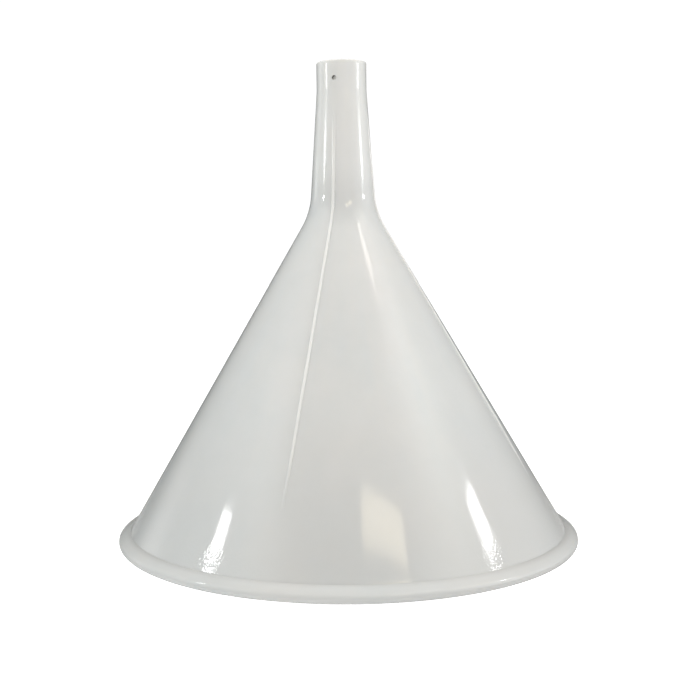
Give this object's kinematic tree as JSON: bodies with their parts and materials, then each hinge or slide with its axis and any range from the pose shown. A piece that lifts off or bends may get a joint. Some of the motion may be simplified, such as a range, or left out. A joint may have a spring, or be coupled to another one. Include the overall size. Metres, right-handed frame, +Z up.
{
  "type": "buchner funnel",
  "caption": "Large conical laboratory funnel in moulded polypropylene, with a rolled rim, vent ribs and a lift-out perforated filter plate with a seal ring, stood on its mouth.",
  "frame": {"origin": "centre of the mouth, in the plane of the rim's flat foot, with the funnel stood upside down on its mouth", "axes": "+Z up the axis from the mouth to the stem tip; -Y through the vent hole near the tip and through one of the outside ribs"},
  "size_m": [0.25, 0.25, 0.2572],
  "materials": {
    "funnel_plastic": "glossy moulded natural-white polypropylene",
    "plate_plastic": "satin moulded natural-white polypropylene",
    "seal_rubber": "soft satin white silicone"
  },
  "bodies": {
    "funnel": {"funnel_body": "funnel_plastic"},
    "plate": {"filter_plate": "plate_plastic", "plate_seal": "seal_rubber"}
  },
  "joints": [
    {"name": "plate_lift", "type": "slide", "parent": "funnel", "child": "plate", "axis": [0, 0, -1], "range_m": [0, 0.115]}
  ]
}
